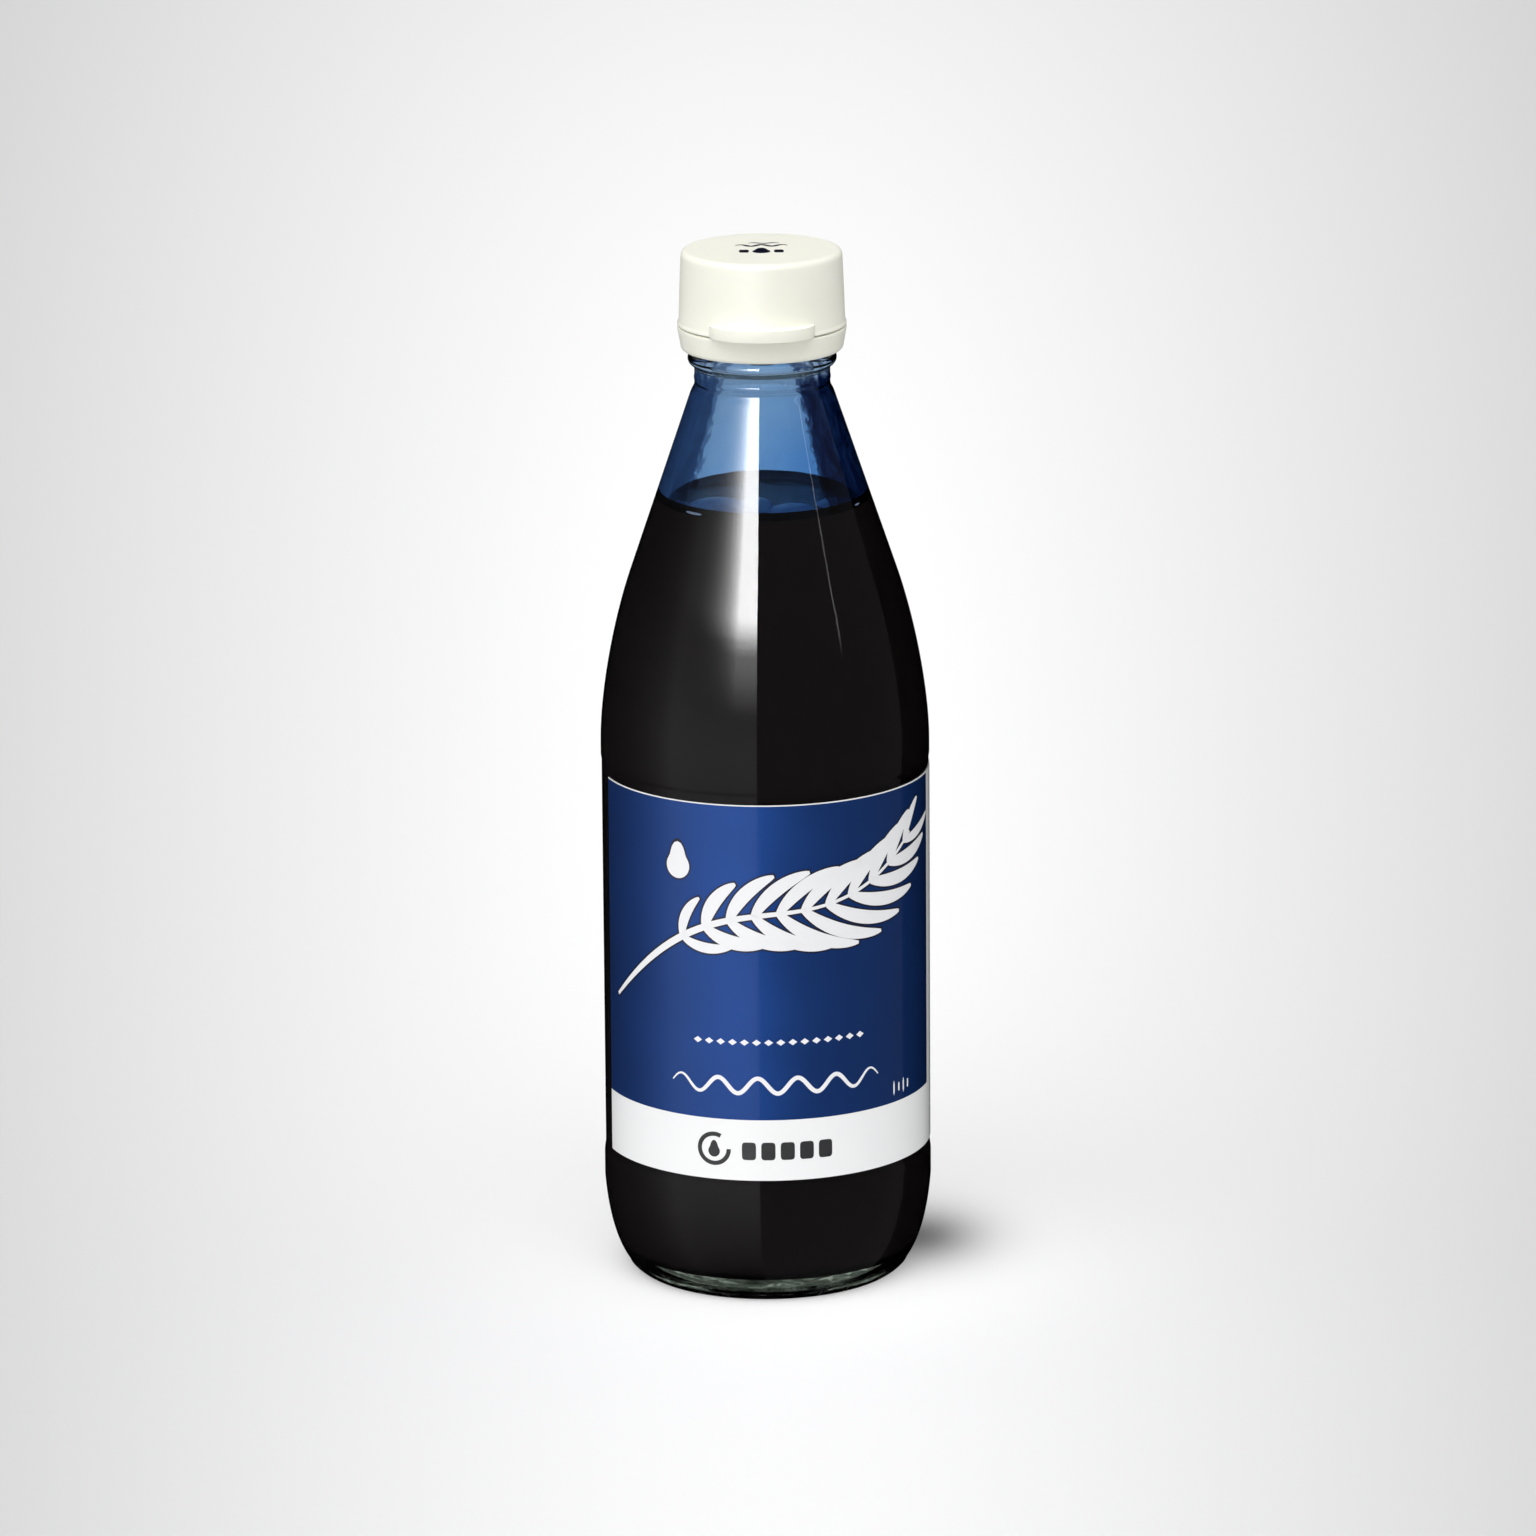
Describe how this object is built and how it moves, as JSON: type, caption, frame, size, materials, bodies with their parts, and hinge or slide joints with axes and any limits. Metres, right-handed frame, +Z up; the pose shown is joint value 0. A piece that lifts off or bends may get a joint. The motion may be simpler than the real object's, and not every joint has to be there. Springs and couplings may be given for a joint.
{
  "type": "ink bottle",
  "caption": "Tall round glass bottle of dark ink with a wrap-round label and a press-on cap whose lid flips back on a moulded hinge over a pouring spout.",
  "frame": {"origin": "on the bottle's vertical axis, in the plane of the ring that it stands on", "axes": "+Z up along the bottle's axis, -Y towards the front where the thumb tab and the label's picture are, +Y towards the cap's hinge, +X to the right as seen from the front"},
  "size_m": [0.0636, 0.0636, 0.2004],
  "materials": {
    "clear_glass": "gloss",
    "ink": "gloss",
    "label_film": "satin",
    "cap_plastic": "satin"
  },
  "bodies": {
    "bottle": {"glass_bottle": "clear_glass", "ink_fill": "ink", "wrap_label": "label_film", "closure_collar": "cap_plastic", "tear_off_seal": "cap_plastic", "hinge_strap_left": "cap_plastic", "hinge_strap_middle": "cap_plastic", "hinge_strap_right": "cap_plastic"},
    "lid": {"flip_lid": "cap_plastic"}
  },
  "joints": [
    {"name": "lid_hinge", "type": "hinge", "parent": "bottle", "child": "lid", "pos_m": [0, 0.01655, 0.18595], "axis": [-1, 0, 0], "range_deg": [0, 165], "deforming": ["hinge_strap_left", "hinge_strap_middle", "hinge_strap_right"]}
  ]
}
